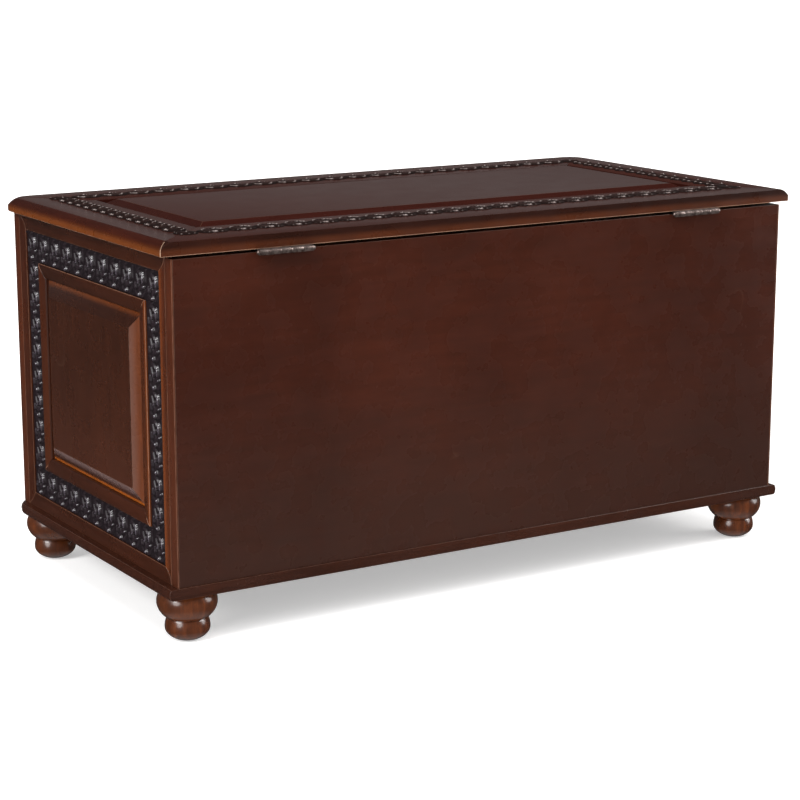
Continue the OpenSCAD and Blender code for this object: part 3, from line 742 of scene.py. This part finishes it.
def case_materials():
    # The back: a painted reflection of the floor towards its foot, painted shade towards the left
    # end, and real scratches.
    back_tints = [
        (painted_floor_reflection, "30201a", 0.65),
        (far_shade, "26110b", 0.35),
        (scratches, SCRATCH, 0.07),
    ]
    made = {
        "carved": carved_black(
            "carved_black", ("181014", "241a1f", "4a4249"), 0.4, Specular_IOR_Level=0.4
        ),
        "carved_gloss": carved_black(
            "carved_gloss", ("181014", "2a2026", "565059"), 0.2,
            IOR=1.65, Specular_IOR_Level=0.6, Coat_Weight=0.55, Coat_Roughness=0.18,
        ),
        "back": wood("back_wood", "X", BACK, rough=0.28, gloss=0.25, mottle=0.16, tints=back_tints),
        # The posts: a painted reflection of the floor towards their foot.
        "post": wood(
            "post_wood", "Z", UPRIGHT, rough=0.3, gloss=0.3, mottle=0.12,
            tints=[(painted_floor_reflection, "38241a", 0.25)],
        ),
        "sill": wood("sill_wood", "X", SILL, rough=0.24, gloss=0.5, mottle=0.12),
        "foot": wood(
            "foot_wood", "Z", FOOT, rough=0.3, gloss=0.4, mottle=0.2, bump=0.1,
            Coat_Weight=1.0, Coat_Roughness=0.17,
        ),
        # Lighter arrises: partly rubbed wear, partly a painted highlight.
        "edge_soft": worn_with_painted_highlight("worn_edge_soft", "6a4634", "4e3020"),
        "edge_dark": worn_with_painted_highlight("worn_edge_dark", "42281d", "33190f"),
        "cedar": raw_wood("cedar", "X", CEDAR),
        "pewter": metal("pewter", "91827c", "50423e", 0.34),
        "steel": metal("fixing_steel", "a8a6a0", "6a6762", 0.3),
        "rubber": rubber(),
    }
    for letter in AXES:
        made[f"inside_{letter.lower()}"] = raw_wood("inside_wood", letter, PLANED)
    return made


def lid_materials():
    made = {
        "lid_carved": carved_black(
            "lid_carved", ("0e0706", "190e0c", "382825"), 0.5, Specular_IOR_Level=0.12
        ),
        # The pale top tone of the lid's glossy carving is a painted highlight on the tips of the
        # buds.
        "lid_carved_gloss": carved_black(
            "lid_carved_gloss", ("110807", "33221f", "a69995"), 0.2, stops=(0.05, 0.5, 0.9),
            IOR=1.8, Specular_IOR_Level=0.7, Coat_Weight=0.8, Coat_Roughness=0.18,
        ),
    }
    for letter, tones, glow, share in (
        ("X", LONG_BAND, "6e3411", 0.3), ("Y", END_BAND, "7e4214", 0.45)
    ):
        key = letter.lower()
        # The lid's edge: painted shade towards the left end, painted light towards its foot, and
        # lighter arrises at its foot and back corners, partly wear and partly a painted highlight.
        band_tints = [
            (far_shade, "170906", 0.6),
            (band_glow, glow, share),
            (band_line, "a07c66", 0.9),
            (corner_line, "b89880", 0.85),
        ]
        made[f"top_{key}"] = wood(
            "top_wood", letter, TOP, rough=0.24, gloss=0.5, mottle=0.04, bump=0.05, vary=0.01
        )
        made[f"band_{key}"] = wood(
            "band_wood", letter, tones, rough=0.3, gloss=0.3, mottle=0.12, tints=band_tints
        )
        made[f"bevel_{key}"] = wood(
            "bevel_wood", letter, GROOVE, rough=0.24, gloss=0.1, mottle=0.08
        )
    return made


def face_materials(face, across):
    """The mouldings and the raised panel of an end or of the front."""
    made = {}
    level = AXES[across]
    for kind, tones, start, end, shade in (
        ("outer", UPRIGHT, 13, 20, 0.8), ("inner", INNER, 4, 0, 0.35)
    ):
        node = f"{face}_{kind}_moulding"
        # The moulding uprights: painted light towards the foot and along their side by the carving,
        # and painted shade on the front half.
        tints = [
            (low_glow, "5e3015", 0.3),
            (inwards(node, across, start, end), GLOW, 0.5),
            (front_shade, "2a120a", shade),
        ]
        made[f"{node}_level"] = wood(node, level, LEVEL, rough=0.3, gloss=0.25, mottle=0.12)
        made[f"{node}_up"] = wood(
            node, "Z", tones, rough=0.3, gloss=0.3, mottle=0.12, tints=tints
        )
    # The inner moulding's arrises: a painted highlight near its outer side, and painted dark, as
    # the groove's shade, towards the panel.
    made[f"{node}_edge"] = worn_with_painted_highlight(f"{node}_edge", "8e6650", "6a4230", inwards(node, across, 12, 6))

    node = f"{face}_raised_panel"
    # On the raised panel: a painted sheen near the field on the side and lower bevels, a reflection
    # of the floor on the lower one; a painted groove shadow at the outer edge of the sides; a
    # painted orange line of light at the outer edge of the lower and upper bevels; and a painted
    # reflection of the floor on the field towards its foot, with real scratches.
    painted_sheen = inwards(node, across, 7, 21)
    field_tints = [(painted_floor_reflection, "4a281c", 0.45), (scratches, SCRATCH, 0.25)]
    side_tints = [(painted_sheen, "5a3d33", 0.8), (inwards(node, across, 5.5, 3.5), "1a0b06", 0.85)]
    low_tints = [(painted_sheen, "6a5552", 0.85), (inwards(node, across, 8, 2), "a5561a", 0.8)]
    top_tints = [(inwards(node, across, 9, 1), GLOW, 0.5)]
    fibre = "Z" if across == 1 else "X"
    for part, letter, tones, rough, gloss, mottle, tints in (
        ("", fibre, PANEL, 0.28, 0.4, 0.14, field_tints),
        ("_side", "Z", PANEL_SIDE_PAINTED_LIGHT, 0.3, 0.4, 0.1, side_tints),
        ("_low", level, PANEL, 0.28, 0.5, 0.1, low_tints),
        ("_top", level, PANEL_UPPER_PAINTED_SHADE, 0.28, 0.4, 0.12, top_tints),
    ):
        made[node + part] = wood(node + part, letter, tones, rough, gloss, mottle, tints)
    # The panel's arrises, painted dark, as shade, along the upper bevel.
    made[f"{node}_edge"] = worn_with_painted_highlight(f"{node}_edge", "5c4034", "44291e", below_bevel)
    return made


MAT = {**case_materials(), **lid_materials()}
for face, across in FACES:
    MAT.update(face_materials(face, across))


# ------------------------------------------------------------------ the chest

SHARP = 0.7 * MM
FINE = 0.4 * MM
TILTED = 0.1  # a panel's bevel has at least this much of a sideways normal
LEVEL_TOP = 0.995  # a level face of the lid has at least this much of an upright one
FACING = 0.9  # the inside of the back has at least this much of one towards the front
RAIL_EDGE = 20 * MM  # how far in the moulded edge of a lid rail reaches


def whole(material, width, *nodes):
    """CAD nodes of one material, arrises and all."""
    for node in nodes:
        eased(node, [MAT[material]], width)


def panel_face(across):
    """Chooses a raised panel's field, side bevel, lower bevel or upper bevel."""

    def choose(at, normal):
        if abs(normal[across]) > TILTED:
            return 1
        return 2 if normal.z < -TILTED else 3 if normal.z > TILTED else 0

    return choose


def rail_face():
    """Chooses a lid rail's top and underside, its inner edge or its outer edge."""
    low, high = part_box("lid_left_rail")[0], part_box("lid_right_rail")[1]

    def choose(at, normal):
        if abs(normal.z) > LEVEL_TOP:
            return 0
        outside = min(min(at[i] - low[i], high[i] - at[i]) for i in (0, 1))
        return 2 if outside < RAIL_EDGE else 1

    return choose


# carved borders
carved_border("left_carving", 1, 0, -1, cells_level=11, cells_upright=8, step=1.0)
carved_border("right_carving", 1, 0, 1, cells_level=11, cells_upright=8, step=1.0)
carved_border("front_carving", 0, 1, -1, cells_level=23, cells_upright=8, step=1.25)
lid_border()

# mouldings and panels on the ends and the front
for face, across in FACES:
    for kind in ("outer_moulding", "inner_moulding"):
        node = f"{face}_{kind}"
        edge = MAT["edge_soft"] if kind == "outer_moulding" else MAT[f"{node}_edge"]
        members = [MAT[f"{node}_level"], MAT[f"{node}_up"], edge]
        eased(node, members, FINE, by_member(node, across))
    node = f"{face}_raised_panel"
    parts = [MAT[node + part] for part in ("", "_side", "_low", "_top", "_edge")]
    eased(node, parts, FINE, panel_face(across), crease=6)

# boards, posts and the base
eased(
    "back_panel", [MAT["back"], MAT["inside_x"], MAT["edge_dark"]], 0.6 * MM,
    lambda at, normal: 1 if normal.y < -FACING else 0,
)
for node in ("front_corner_posts", "rear_corner_posts"):
    eased(node, [MAT["post"], MAT["edge_soft"]], 0.45 * MM)
eased("base_plate", [MAT["sill"], MAT["edge_dark"]], 0.8 * MM)
whole("inside_y", SHARP, "left_end_board", "right_end_board")
whole("inside_x", SHARP, "front_board", "back_top_rail")
whole("inside_z", SHARP, "glue_blocks")
whole("inside_y", SHARP, "lid_cleats")
whole("cedar", SHARP, "bottom_lining")

# lid
for side, letter in (("back", "x"), ("front", "x"), ("left", "y"), ("right", "y")):
    parts = [MAT[f"{part}_{letter}"] for part in ("top", "bevel", "band")]
    eased(f"lid_{side}_rail", parts, FINE, rail_face(), crease=8)
eased(
    "lid_panel", [MAT["top_x"], MAT["bevel_x"], MAT["edge_dark"]], FINE,
    lambda at, normal: 0 if normal.z > LEVEL_TOP else 1, crease=6,
)

# feet, glides and bumpers
for node in ("front_left_foot", "front_right_foot", "rear_left_foot", "rear_right_foot"):
    turned_foot(node)
whole("rubber", 0.5 * MM, "foot_glides", "lid_bumpers")

# ironwork
for side in ("left", "right"):
    for part in (
        "hinge_case_leaf", "hinge_lid_leaf", "hinge_pin", "stay_case_bracket",
        "stay_lower_arm", "stay_upper_arm", "stay_lid_bracket",
    ):
        whole("pewter", 0.35 * MM, f"{side}_{part}")
    for joint in ("case", "elbow", "lid"):
        whole("steel", 0.3 * MM, f"{side}_stay_{joint}_rivet")
whole(
    "steel", 0.2 * MM,
    "foot_bolts", "hinge_case_screws", "hinge_lid_screws", "stay_case_screws", "stay_lid_screws",
)


# ------------------------------------------------------------------ stage, light and camera

CAMERA_AZIMUTH = 148.31
CAMERA_ELEVATION = 12.66
CAMERA_DISTANCE = 3.199
CAMERA_LENS = 99.17
CAMERA_AIM = Vector((0.001, 0.0, 0.2193))

# name, azimuth from the camera's, elevation, strength, size in degrees, mirrored, lit
SUNS = (
    ("key", -48, 34, 2.6, 28, True, True),
    ("side", 100, 34, 1.6, 30, True, True),
    ("gleam", -36, 14, 0.85, 28, True, False),
    ("side_gleam", 98, 14, 0.7, 28, True, False),
    ("high", -12, 66, 0.7, 20, True, True),
    ("fill", -15, 20, 1.3, 80, False, True),
    ("side_fill", 50, 34, 1.2, 60, False, True),
    ("back", 170, 58, 1.0, 60, False, True),
)

# (height, brightness) pairs of the room, from -1, straight down, to 1, overhead
ROOM = (
    (-1, 0.25), (-0.8, 0.2), (-0.65, 0.0), (0.04, 0.0), (0.08, 0.16), (0.17, 0.16), (0.22, 0.0)
)
AMBIENT = 0.04
OPPOSITE = (0.35, 0.8)  # how near to straight opposite the upper bands fade in
UNDER = -0.3  # lower than this, the bands show all round
FLOOR_SIZE = 60


def pale_floor():
    g = surface("pale_floor")
    colour = g.mix(g.noise(1.5, 2.0), srgb("f4f3f2"), srgb("f8f7f6"))
    material = g.finish(
        colour, 0.85, Specular_IOR_Level=0.1, Emission_Color=(1, 1, 1, 1), Emission_Strength=0.4
    )
    bm = bmesh.new()
    bmesh.ops.create_grid(bm, x_segments=8, y_segments=8, size=FLOOR_SIZE)
    mesh = bpy.data.meshes.new("floor")
    bm.to_mesh(mesh)
    bm.free()
    mesh.materials.append(material)
    floor = bpy.data.objects.new("floor", mesh)
    floor.visible_glossy = False
    bpy.context.scene.collection.objects.link(floor)


def direction(azimuth, elevation):
    """The way towards a light or camera at this azimuth and elevation, as the views count them."""
    a, e = math.radians(azimuth), math.radians(elevation)
    return Vector((math.sin(a) * math.cos(e), -math.cos(a) * math.cos(e), math.sin(e)))


def aimed(name, data, back):
    """An object in the scene that looks along the opposite of back."""
    obj = bpy.data.objects.new(name, data)
    obj.rotation_mode = "QUATERNION"
    obj.rotation_quaternion = back.to_track_quat("Z", "Y")
    bpy.context.scene.collection.objects.link(obj)
    return obj


def sun(name, azimuth, elevation, strength, size, mirrored, lit):
    """A far light. It shows in reflections if mirrored, and lights dull surfaces if lit."""
    light = bpy.data.lights.new(name, "SUN")
    light.energy, light.angle = strength, math.radians(size)
    lamp = aimed(name, light, direction(CAMERA_AZIMUTH + azimuth, elevation))
    lamp.visible_glossy, lamp.visible_diffuse = mirrored, lit


def room_light():
    """Even light from all round, with brighter bands. Those above the horizon show only opposite
    the camera."""
    world = bpy.data.worlds.new("studio")
    g = Graph(world, "Generated")
    height = g.axis("Z")
    level = g.math("MULTIPLY", g.math("ADD", height, 1.0), 0.5)
    bands = g.ramp(level, [((z + 1) / 2, (glow, glow, glow, 1)) for z, glow in ROOM])
    facing = g.add(
        "ShaderNodeVectorMath", {0: g.coord, 1: direction(CAMERA_AZIMUTH + 180, 0)},
        operation="DOT_PRODUCT",
    )
    opposite = g.span(facing.outputs["Value"], *OPPOSITE)
    shown = g.math("MAXIMUM", opposite, g.math("LESS_THAN", height, UNDER))
    strength = g.math("ADD", g.math("MULTIPLY", bands, shown), AMBIENT)
    light = g.add("ShaderNodeBackground", {"Color": (1, 1, 1, 1), "Strength": strength})
    g.add("ShaderNodeOutputWorld", {"Surface": light.outputs[0]})
    bpy.context.scene.world = world


def camera():
    data = bpy.data.cameras.new("camera")
    data.lens, data.sensor_width = CAMERA_LENS, 36.0
    back = direction(CAMERA_AZIMUTH, CAMERA_ELEVATION)
    eye = aimed("camera", data, back)
    eye.location = CAMERA_AIM + back * CAMERA_DISTANCE
    bpy.context.scene.camera = eye


pale_floor()
for row in SUNS:
    sun(*row)
room_light()
camera()
bpy.context.scene.view_settings.view_transform = "Standard"
